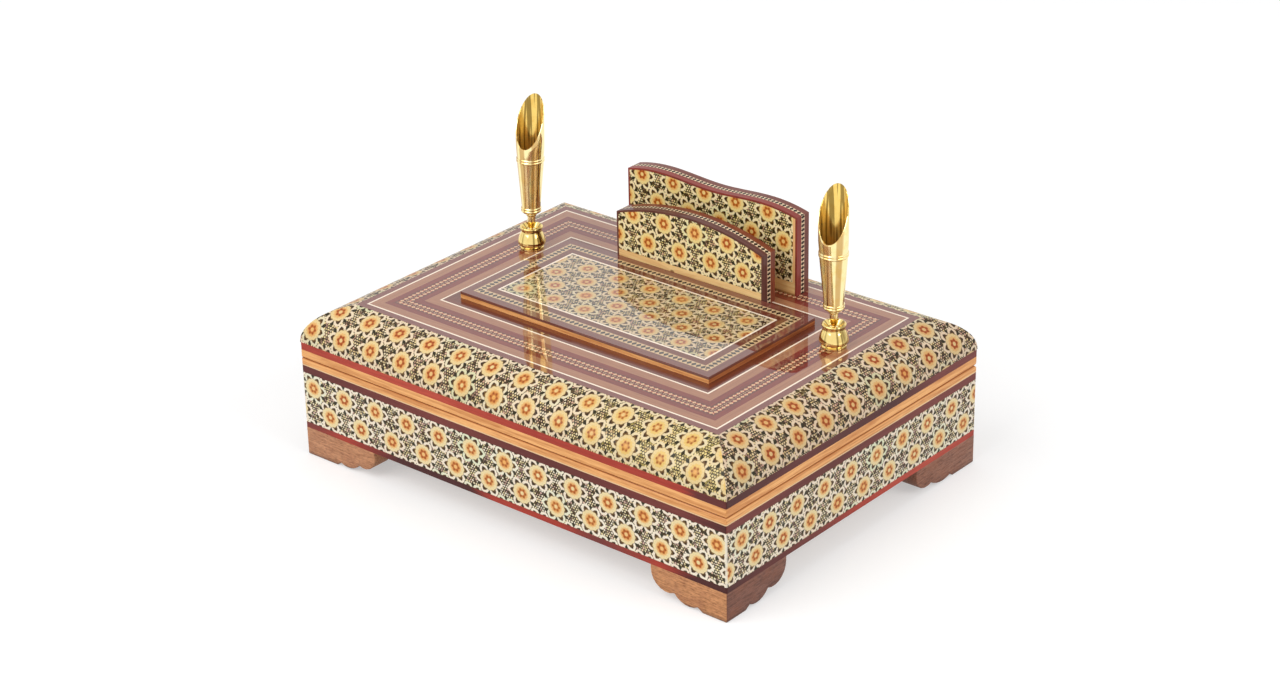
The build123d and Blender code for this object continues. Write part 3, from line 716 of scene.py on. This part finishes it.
def dottedChain(sheet, along, offset, halfWidth, own):
    # dark links on a pale ground between two thin brown lines
    phase = sheet.wrap(along, own["step"] / 2)
    link = sheet.plus(sheet.absolute(phase), sheet.times(sheet.absolute(offset), 0.7))
    colour = sheet.lay(own["ground"], own["dark"], link, own["link"] + 0.15, own["link"] - 0.2)
    fromEdge = sheet.minus(halfWidth, sheet.absolute(offset))
    return sheet.lay(colour, own["edge"], fromEdge, 0.35, 0.15, 0.8)


def panelChainMaterial():
    own = chains["panel"]
    sheet = newLacquered("panel_chain_band", "panel")
    return finish(sheet, dottedChain(sheet, *frameBand(sheet, panelHalf, own), own))


def plateChainMaterial():
    # over the tops of the plates along X, down their ends along Z
    own = chains["plates"]
    sheet = newLacquered("plate_edge_chain")
    x, y, z = sheet.place()
    normal = sheet.parts(sheet.add("TexCoord").outputs["Normal"])
    upright = sheet.above(sheet.absolute(normal[0]), 0.7)
    along = sheet.timesPlus(upright, sheet.minus(z, x), x)
    frontMiddle, backMiddle = [edge["middle"] for edge in plateEdges.values()]
    front = sheet.below(y, starFinish["betweenPlates"])
    offset = sheet.minus(y, sheet.timesPlus(front, frontMiddle - backMiddle, backMiddle))
    return finish(sheet, dottedChain(sheet, along, offset, own["halfWidth"], own))


dress(topChainMaterial(), "lid_top_chain")
dress(panelChainMaterial(), "panel_chain")
dress(plateChainMaterial(), "card_plate_edge_chains")
print("woods and bands dressed")

# lining and metal
cloth = {
    "deep": tint(70, 14, 24),
    "light": tint(150, 40, 52),
    "pileScale": 2500,
    "pileDepth": 0.25,
    "cloudScale": 40,
}


def clothMaterial():
    sheet = newMaterial("wine_cloth", Roughness=0.9, Sheen_Weight=0.25, Sheen_Roughness=0.4)
    position = sheet.spot()
    pile = sheet.noise(position, cloth["pileScale"], 3)
    cloud = sheet.noise(position, cloth["cloudScale"], 2)
    colour = sheet.mix(sheet.timesPlus(pile, 0.5, sheet.times(cloud, 0.4)), cloth["deep"], cloth["light"])
    return finish(sheet, colour, pile, cloth["pileDepth"])


dress(clothMaterial(), "base_lining", "lid_lining")

# pen holders: where each stands, and how far it leans back, in millimetres and degrees
holderPlaces = {
    "left": {"x": -85.6, "y": 25.2, "lean": 1.6},
    "right": {"x": 93.1, "y": 25.2, "lean": -1.4},
}
funnelTurn = 15
ballHeight = 7.6

metals = {
    # how far the painted dark reflections show, and how many there are round a piece
    "gilt": {"bright": tint(254, 238, 178), "wearAndHighlight": tint(244, 208, 108), "darkReflection": tint(178, 116, 8),
             "reflectionShare": 0.62, "count": 2.1, "roughness": 0.06},
    "cup": {"bright": tint(251, 224, 146), "wearAndHighlight": tint(226, 180, 84), "darkReflection": tint(112, 84, 26),
            "reflectionShare": 0.75, "count": 3.6, "roughness": 0.05},
    "mouth": {"bright": tint(250, 214, 118), "wearAndHighlight": tint(232, 172, 62), "darkReflection": tint(120, 92, 26),
              "reflectionShare": 0.8, "count": 6.5, "roughness": 0.2, "metal": 0.7},
    "plain": {"bright": tint(214, 176, 104), "wearAndHighlight": tint(160, 122, 66), "reflectionShare": 0, "roughness": 0.22},
}


brassWear = {
    "spotScale": 260,
    "ringScale": (300, 300, 6000),      # fine turning marks, close together along the axis
    "ringDepth": 0.004,                 # mm
    "reflectionTwist": 0.006,
}


def brassMaterial(name, kind):
    own = metals[kind]
    sheet = newMaterial(name, Metallic=own.get("metal", 1.0))
    position = sheet.spot()
    spots = sheet.noise(position, brassWear["spotScale"], 4, 0.6)
    rings = sheet.add("Mapping", {"Vector": position, "Scale": brassWear["ringScale"]})
    fine = sheet.noise(rings.outputs[0], 1.0, 2)
    tone = sheet.lay(own["bright"], own["wearAndHighlight"], spots, 0.45, 0.75, 0.45)
    if own["reflectionShare"]:
        # painted dark reflections: darker streaks up the polished metal, about the axis of its pen holder
        x, y, z = sheet.place()
        onRight = sheet.above(x, 0.0)
        left, right = holderPlaces["left"], holderPlaces["right"]
        slopes = [math.tan(math.radians(side["lean"])) for side in (left, right)]
        drift = sheet.times(sheet.minus(z, caseSize["lidTop"] + ballHeight),
                            sheet.timesPlus(onRight, slopes[1] - slopes[0], slopes[0]))
        fromX = sheet.minus(x, sheet.timesPlus(onRight, right["x"] - left["x"], left["x"]))
        fromY = sheet.minus(sheet.minus(y, left["y"]), drift)
        turn = sheet.bearing(fromY, fromX)
        around = sheet.vector(sheet.cosine(turn), sheet.sine(turn),
                              sheet.times(z, brassWear["reflectionTwist"]))
        darkReflection = sheet.noise(around, own["count"], 1, 0.4)
        tone = sheet.lay(tone, own["darkReflection"], darkReflection, 0.47, 0.6, own["reflectionShare"])
    rough = sheet.timesPlus(sheet.fade(spots, 0.4, 0.8), 0.05, own["roughness"])
    return finish(sheet, tone, fine, brassWear["ringDepth"], rough)


giltBrass = brassMaterial("gilt_brass", "gilt")
cupBrass = brassMaterial("cup_brass", "cup")
plainBrass = brassMaterial("plain_brass", "plain")
mouthBrass = brassMaterial("satin_brass", "mouth")
dress(plainBrass, "left_ball_seat", "right_ball_seat", "pen_cup_nuts", "hinge_base_leaves",
      "hinge_lid_leaves", "hinge_base_screws", "hinge_lid_screws", "hinge_pins", "card_plate_screws")
print("cloth and metal dressed")


def shift(x, y, z):
    return Matrix.Translation((x * millimetre, y * millimetre, z * millimetre))


def selectAll(action="SELECT"):
    bpy.ops.mesh.select_all(action=action)


def faceOutwards():
    selectAll()
    bpy.ops.mesh.normals_make_consistent(inside=False)


def addToScene(thing):
    bpy.context.scene.collection.objects.link(thing)


def extrude(x=0.0, y=0.0, z=0.0):
    # pulls new faces or edges out of the selected ones, by millimetres
    step = (x * millimetre, y * millimetre, z * millimetre)
    bpy.ops.mesh.extrude_region_move(TRANSFORM_OT_translate={"value": step})


def squeeze(across, up, level):
    # scales the selection about a point on the upright axis, level in millimetres
    bpy.ops.transform.resize(value=(across, across, up), center_override=(0, 0, level * millimetre))


def drawOutline(name, points):
    # draws an outline of (x, z) points in millimetres by extruding one vertex, and stays in edit mode
    bpy.ops.object.select_all(action="DESELECT")
    bpy.ops.mesh.primitive_plane_add(size=millimetre)
    piece = bpy.context.object
    piece.name = name
    bpy.ops.object.mode_set(mode="EDIT")
    bpy.ops.mesh.select_mode(type="VERT")
    selectAll()
    bpy.ops.mesh.merge(type="CENTER")
    bpy.ops.transform.translate(value=(points[0][0] * millimetre, 0, points[0][1] * millimetre))
    for (x0, z0), (x1, z1) in zip(points, points[1:]):
        extrude(x=x1 - x0, z=z1 - z0)
    selectAll()
    return piece


def arcPoints(start, middle, end, count):
    # points after start on the arc through three points
    first, second, third = [complex(*point) for point in (start, middle, end)]
    ratio = (third - first) / (second - first)
    centre = first + (second - first) * (ratio - abs(ratio) ** 2) / (2j * ratio.imag)
    arm = first - centre
    part, whole = [cmath.phase((point - centre) / arm) % math.tau for point in (second, third)]
    if part > whole:
        whole -= math.tau
    points = [centre + arm * cmath.rect(1, whole * step / count) for step in range(1, count + 1)]
    return [(point.real, point.imag) for point in points]


def outline(start, *steps):
    # a step is the next point, or an arc: a point on its way, its end and the number of its parts
    points = [start]
    for step in steps:
        points += arcPoints(points[-1], *step) if len(step) == 3 else [step]
    return points


def bead(radius, low, high, rise, count=5):
    # a half-round on a turned outline
    return arcPoints((radius, low), (radius + rise, (low + high) / 2), (radius, high), count)


def turnedPiece(name, profile, steps=72):
    # a turned piece about the upright axis; stays in edit mode
    piece = drawOutline(name, profile)
    bpy.ops.mesh.spin(steps=steps, angle=math.tau, center=(0, 0, 0), axis=(0, 0, 1))
    selectAll()
    bpy.ops.mesh.remove_doubles(threshold=0.01 * millimetre)
    faceOutwards()
    return piece


def leaveEdit(piece, bevel=0.0, segments=2, limit=50, smooth=40):
    bpy.ops.object.mode_set(mode="OBJECT")
    if bevel:
        modifier = piece.modifiers.new("edges", "BEVEL")
        modifier.width = bevel * millimetre
        modifier.segments = segments
        modifier.limit_method = "ANGLE"
        modifier.angle_limit = math.radians(limit)
        bpy.ops.object.modifier_apply(modifier="edges")
    bpy.ops.object.shade_smooth_by_angle(angle=math.radians(smooth))


def place(piece, matrix):
    bpy.ops.object.select_all(action="DESELECT")
    bpy.context.view_layer.objects.active = piece
    piece.select_set(True)
    piece.matrix_world = matrix
    bpy.ops.object.transform_apply(location=True, rotation=True, scale=True)


def copyOf(piece, name):
    twin = piece.copy()
    twin.data = piece.data.copy()
    twin.name = name
    addToScene(twin)
    return twin


# ball joint cups, ball studs and funnels
cupShape = {
    # steps of the outline, radius and height: from below up the outside, then down the inside
    "stud": [(0, -9.3), (2.0, -9.3), (2.0, 0)],
    "flange": [(5.7, 0), (5.75, 0.45), (5.7, 0.9), (5.15, 1.35)],
    "bowl": [((6.35, 2.25), (6.7, 3.7), 7), ((6.1, 6.0), (4.95, 8.7), 8)],
    "rim": [((5.05, 9.6), (5.5, 10.4), 5), (5.5, 10.95), (5.38, 11.14), (5.2, 11.2), (4.7, 11.2)],
    "lip": [(2.829, 9.2), (2.97, 8.9), (3.092, 8.6)],
    "bore": [(4.0, 8.6), (4.0, 2.5), (0, 2.5)],
}

studShape = {
    "ball": 3.1,
    "neck": (1.4, 3.2),
    "stem": (1.9, 4.2),
    "shoulder": 18.3,
    "thread": (1.6, 20.6),
    "collar": (2.6, 16.3, 18.2),
}

funnelShape = {
    "bottom": 18.3,
    "footRadius": 4.5,
    "footEdge": 0.4,
    "bead": 1.25,
    "beadRise": 0.35,
    "ring": 43.9,
    "radius": 6.75,
    "low": 51.7,
    "tip": 75.6,
    "wall": 0.5,
    "straight": 1.2,        # below the lowest point of the mouth, before the inside narrows
    "floor": 22.2,
    "floorRadius": 4.0,
}


def modelCup():
    piece = turnedPiece("penCup", outline(*[step for part in cupShape.values() for step in part]))
    leaveEdit(piece, bevel=0.08)
    return piece


def modelStud():
    own = studShape
    ball, neck, stem = own["ball"], own["neck"], own["stem"]
    neckBase = (neck[0], ballHeight + math.sqrt(ball ** 2 - neck[0] ** 2))
    collar, low, high = own["collar"]
    profile = [(0, ballHeight - ball)]
    profile += arcPoints(profile[0], (ball, ballHeight), neckBase, 18)
    profile += [(neck[0], ballHeight + neck[1]), (stem[0], ballHeight + stem[1]), (stem[0], low)]
    profile += bead(stem[0], low, high, collar - stem[0], 8)
    profile += [(stem[0], own["shoulder"]), (own["thread"][0], own["shoulder"]), own["thread"],
                (0, own["thread"][1])]
    piece = turnedPiece("ballStud", profile)
    leaveEdit(piece)
    return piece


def modelFunnel():
    own = funnelShape
    bottom, ring, high, rise = own["bottom"], own["ring"], own["bead"], own["beadRise"]
    footRadius, foot = own["footRadius"], bottom + own["footEdge"]
    shoulder = own["radius"] - rise
    profile = [(0, bottom), (footRadius - own["footEdge"], bottom), (footRadius, foot)]
    for level in (foot, foot + high):
        profile += bead(footRadius, level, level + high, rise)
    neck = foot + 2 * high
    profile += [(footRadius + (shoulder - footRadius) * part / 6, neck + (ring - neck) * part / 6)
                for part in range(1, 7)]
    for level in (ring, ring + high):
        profile += bead(shoulder, level, level + high, rise)
    profile += [(own["radius"], own["low"] - 0.6), (own["radius"], own["tip"] + 1)]
    piece = turnedPiece("funnel", profile)
    middle = (own["low"] + own["tip"]) / 2
    slope = math.atan2(own["tip"] - own["low"], 2 * own["radius"])
    selectAll()
    bpy.ops.mesh.bisect(plane_co=(0, 0, middle * millimetre), clear_outer=True, use_fill=False,
                        plane_no=(0, -math.sin(slope), math.cos(slope)))
    selectAll("DESELECT")
    bpy.ops.mesh.select_non_manifold(extend=False, use_wire=False, use_boundary=True, use_multi_face=False,
                                     use_non_contiguous=False, use_verts=False)
    # the rim, then the inside down to the floor
    inner = (own["radius"] - own["wall"]) / own["radius"]
    extrude()
    squeeze(inner, 1, middle)
    extrude()
    deep = own["low"] - own["straight"]
    squeeze(1, 0, deep)
    extrude(z=own["floor"] - deep)
    narrow = own["floorRadius"] / (own["radius"] * inner)
    squeeze(narrow, 1, own["floor"])
    bpy.ops.mesh.edge_face_add()
    faceOutwards()
    leaveEdit(piece, bevel=0.1, limit=60)
    return piece


def holderMatrix(side, lean):
    own = holderPlaces[side]
    return (shift(own["x"], own["y"], caseSize["lidTop"] + ballHeight)
            @ Matrix.Rotation(math.radians(-lean), 4, "X")
            @ Matrix.Rotation(math.radians(funnelTurn), 4, "Z")
            @ shift(0, 0, -ballHeight))


def dressFunnel(piece):
    # gilt outside, a satin inside
    piece.data.materials.append(giltBrass)
    piece.data.materials.append(mouthBrass)
    for face in piece.data.polygons:
        centre = face.center / millimetre
        outward = Vector((centre.x, centre.y, 0)).dot(face.normal)
        face.material_index = 1 if outward < 0 and centre.z > funnelShape["floor"] - 0.1 else 0


models = {"pen_cup": modelCup(), "ball_stud": modelStud(), "funnel": modelFunnel()}
dressFunnel(models["funnel"])
models["pen_cup"].data.materials.append(cupBrass)
models["ball_stud"].data.materials.append(giltBrass)
for kind, model in models.items():
    twin = copyOf(model, "right" + kind.title().replace("_", ""))
    model.name = "left" + kind.title().replace("_", "")
    for side, piece in (("left", model), ("right", twin)):
        lean = 0 if kind == "pen_cup" else holderPlaces[side]["lean"]
        place(piece, holderMatrix(side, lean))
        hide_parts(f"{side}_{kind}")
        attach(piece, "lid" if kind == "pen_cup" else f"{side}_holder")
print("pen holders modelled")

# bracket feet: two mitred wings each, cut by hand, so no two are quite alike
footShape = {
    "height": 14.2,
    "thickness": 11.0,
    "roundEdges": 0.7,
    "blockSide": 16.0,
    "blockLift": 2.0,
    "blockTop": 15.2,
    "wings": {
        # from the corner: end of the sole, inner cusp, inner lobe, cusp, lobe and end
        "usual": [(13.2, 0), (15.9, 1.7), (24.4, 1.0), (28.6, 4.0), (37.0, 4.2), (41.5, 12.2)],
        "longSole": [(19.0, 0), (21.6, 1.7), (28.6, 1.0), (33.4, 4.0), (40.3, 4.4), (44.2, 12.0)],
        "long": [(16.6, 0), (19.0, 1.5), (28.4, 0.9), (34.0, 3.4), (42.0, 3.8), (46.3, 12.0)],
    },
    # the wing along the front or back, then the wing along the side
    "feet": {"foot_front_left": ("longSole", "usual"), "foot_front_right": ("usual", "usual"),
             "foot_back_left": ("usual", "usual"), "foot_back_right": ("usual", "long")},
}


def modelWing(shape):
    # one wing from the corner along X, its outer face on Y = 0, mitred at the corner; ends in object mode
    sole, innerCusp, innerLobe, cusp, lobe, end = footShape["wings"][shape]
    high = footShape["height"]
    wing = drawOutline("wing", outline((0, high), (0, 0), sole, innerCusp, (innerLobe, cusp, 6),
                                       (lobe, end, 7), (end[0], high)))
    mesh = bmesh.from_edit_mesh(wing.data)
    mesh.verts.ensure_lookup_table()
    for vertex in mesh.verts:
        vertex.select = len(vertex.link_edges) == 1
    mesh.select_flush(True)
    bmesh.update_edit_mesh(wing.data)
    bpy.ops.mesh.edge_face_add()
    selectAll()
    bpy.ops.mesh.fill(use_beauty=False)
    bpy.ops.mesh.dissolve_limited(angle_limit=math.radians(1))
    selectAll()
    extrude(y=footShape["thickness"])
    selectAll()
    bpy.ops.mesh.bisect(plane_co=(0, 0, 0), plane_no=(-1, 1, 0), clear_outer=True, use_fill=False)
    bpy.ops.object.mode_set(mode="OBJECT")
    return wing


def modelFoot(name, corner):
    front, side = footShape["feet"][name]
    wing = modelWing(front)
    sideWing = modelWing(side)
    place(sideWing, Matrix(((0, 1, 0, 0), (1, 0, 0, 0), (0, 0, 1, 0), (0, 0, 0, 1))))
    wing.select_set(True)
    bpy.context.view_layer.objects.active = wing
    bpy.ops.object.join()
    wing.name = name + "_shaped"
    bpy.ops.object.mode_set(mode="EDIT")
    selectAll()
    bpy.ops.mesh.remove_doubles(threshold=0.02 * millimetre)
    faceOutwards()
    # round the edges that show: not those under the stripe, nor those across a wing
    bpy.ops.mesh.select_mode(type="EDGE")
    selectAll("DESELECT")
    bpy.ops.mesh.edges_select_sharp(sharpness=math.radians(35))
    mesh = bmesh.from_edit_mesh(wing.data)
    for edge in mesh.edges:
        low, high = [vertex.co / millimetre for vertex in edge.verts]
        under = min(low.z, high.z) > footShape["height"] - 0.1
        excess = edge.calc_length() / millimetre - footShape["thickness"]
        across = abs(excess) < 0.05 and abs(low.z - high.z) < 0.01
        if under or across:
            edge.select = False
    bmesh.update_edit_mesh(wing.data)
    bpy.ops.mesh.bevel(offset=footShape["roundEdges"] * millimetre, segments=3, affect="EDGES",
                       clamp_overlap=True)
    # the glue block behind the corner
    inner, blockSide = footShape["thickness"], footShape["blockSide"]
    low, high = footShape["blockLift"], footShape["blockTop"]
    middle = (inner + blockSide / 2) * millimetre
    selectAll("DESELECT")
    bpy.ops.mesh.primitive_cube_add(
        size=1, location=(middle, middle, (low + high) / 2 * millimetre),
        scale=(blockSide * millimetre, blockSide * millimetre, (high - low) * millimetre))
    bpy.ops.mesh.bisect(plane_co=(middle, middle, 0), plane_no=(1, 1, 0), clear_outer=True, use_fill=True)
    faceOutwards()
    leaveEdit(wing, smooth=30)
    signX, signY = corner
    place(wing, shift(signX * caseHalf[0], signY * caseHalf[1], 0) @ Matrix.Diagonal((-signX, -signY, 1, 1)))
    if signX * signY < 0:
        bpy.ops.object.mode_set(mode="EDIT")
        faceOutwards()
        bpy.ops.object.mode_set(mode="OBJECT")
    return wing


footWood = {
    # light and dark tones of the wings along the front and back, and of those along the sides
    "frontRight": (tint(222, 158, 106), tint(128, 74, 42)),
    "frontLeft": (tint(212, 152, 110), tint(132, 82, 54)),
    "sideNear": (tint(136, 88, 70), tint(74, 42, 34)),
    "sideFar": (tint(160, 108, 84), tint(88, 52, 40)),
    "edge": tint(74, 44, 36),
    "cloud": tint(150, 92, 66),
    "grainWidth": 0.45,
    "sideLane": 31.0,
}


def footMaterial():
    own = footWood
    sheet = newMaterial("walnut_feet", Specular_IOR_Level=0.35)
    (x, y, z), along, lane, side = frameLane(sheet, caseHalf, own["sideLane"])
    grain = grainFactor(sheet, along, lane, z, own["grainWidth"])
    pores = sheet.noise(sheet.vector(sheet.times(along, 0.35), lane, z), 1.3, 3, 0.6)
    cloud = sheet.noise(sheet.vector(along, lane, z), 0.12, 2)
    factor = sheet.plus(sheet.times(grain, 0.55), sheet.times(sheet.fade(pores, 0.4, 0.7), 0.45))
    right, far = sheet.above(x, 0.0), sheet.above(y, 0.0)
    light, dark = [sheet.mix(side, sheet.mix(right, own["frontLeft"][tone], own["frontRight"][tone]),
                             sheet.mix(far, own["sideNear"][tone], own["sideFar"][tone])) for tone in (0, 1)]
    colour = sheet.mix(factor, light, dark)
    colour = sheet.lay(colour, own["cloud"], cloud, 0.45, 0.75, 0.35)
    colour = sheet.lay(colour, own["edge"], z, 2.6, 0.4, 0.55)
    return finish(sheet, colour, factor, -0.1, sheet.timesPlus(grain, 0.2, 0.42))


walnut = footMaterial()
corners = {"foot_front_left": (-1, -1), "foot_front_right": (1, -1), "foot_back_left": (-1, 1),
           "foot_back_right": (1, 1)}
for name, corner in corners.items():
    foot = modelFoot(name, corner)
    foot.data.materials.append(walnut)
    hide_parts(name)
    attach(foot, "base")
print("feet modelled")

# the camera as solved from the photograph, in metres, degrees and millimetres
cameraSetup = {
    "location": (0.77667, -0.91254, 0.63050),
    "turn": (64.3615, 1.0027, 39.8427),
    "lens": 81.678,
}

cameraData = bpy.data.cameras.new("photoCamera")
cameraData.lens = cameraSetup["lens"]
cameraData.sensor_width = 36
cameraData.clip_start = 0.01
camera = bpy.data.objects.new("photoCamera", cameraData)
addToScene(camera)
camera.location = cameraSetup["location"]
camera.rotation_euler = [math.radians(angle) for angle in cameraSetup["turn"]]
bpy.context.scene.camera = camera

studio = {
    "worldLight": 0.62,
    "floorShade": 0.6,
    "floorSpeckle": 0.7,
    "speckleScale": 900,
    "speckleShare": 0.02,
    "floorLift": 0.44,
    "lights": [
        {"name": "keyLight", "location": (-0.6, -1.9, 1.9), "size": 2.2, "power": 40},
        {"name": "sideLight", "location": (1.7, 0.1, 1.1), "size": 1.0, "power": 12},
    ],
}


def seenByGloss(sheet):
    # 1 for what the camera, a reflection or glass sees
    path = sheet.add("LightPath").outputs
    seen = sheet.greater(path["Is Camera Ray"], path["Is Glossy Ray"])
    return sheet.greater(seen, path["Is Transmission Ray"])


world = bpy.data.worlds.new("paleStudio")
bpy.context.scene.world = world
world.use_nodes = True
sheet = NodeSheet(world.node_tree)
background = world.node_tree.nodes["Background"]
background.inputs["Color"].default_value = (1, 1, 1, 1)
strength = sheet.timesPlus(seenByGloss(sheet), 1 - studio["worldLight"], studio["worldLight"])
sheet.wire(strength, background.inputs["Strength"])

bpy.ops.object.select_all(action="DESELECT")
bpy.ops.mesh.primitive_plane_add(size=8, location=(0, 0, 0))
floor = bpy.context.object
floor.name = "paleFloor"
sheet = newMaterial("pale_floor", Roughness=0.7, Specular_IOR_Level=0.1, Emission_Color=(1, 1, 1, 1))
speckle = sheet.times(sheet.noise(sheet.spot(), studio["speckleScale"], 2), studio["speckleShare"])
shade, spots = [[studio[tone]] * 3 + [1] for tone in ("floorShade", "floorSpeckle")]
sheet.wire(sheet.times(seenByGloss(sheet), studio["floorLift"]), sheet.sockets["Emission Strength"])
floor.data.materials.append(finish(sheet, sheet.mix(speckle, shade, spots)))

for own in studio["lights"]:
    lightData = bpy.data.lights.new(own["name"], "AREA")
    lightData.size = own["size"]
    lightData.energy = own["power"]
    light = bpy.data.objects.new(own["name"], lightData)
    addToScene(light)
    light.location = own["location"]
    aim = Vector((0, 0, 0.05)) - light.location
    light.rotation_euler = aim.to_track_quat("-Z", "Y").to_euler()

bpy.context.scene.view_settings.view_transform = "Standard"
print("studio ready")
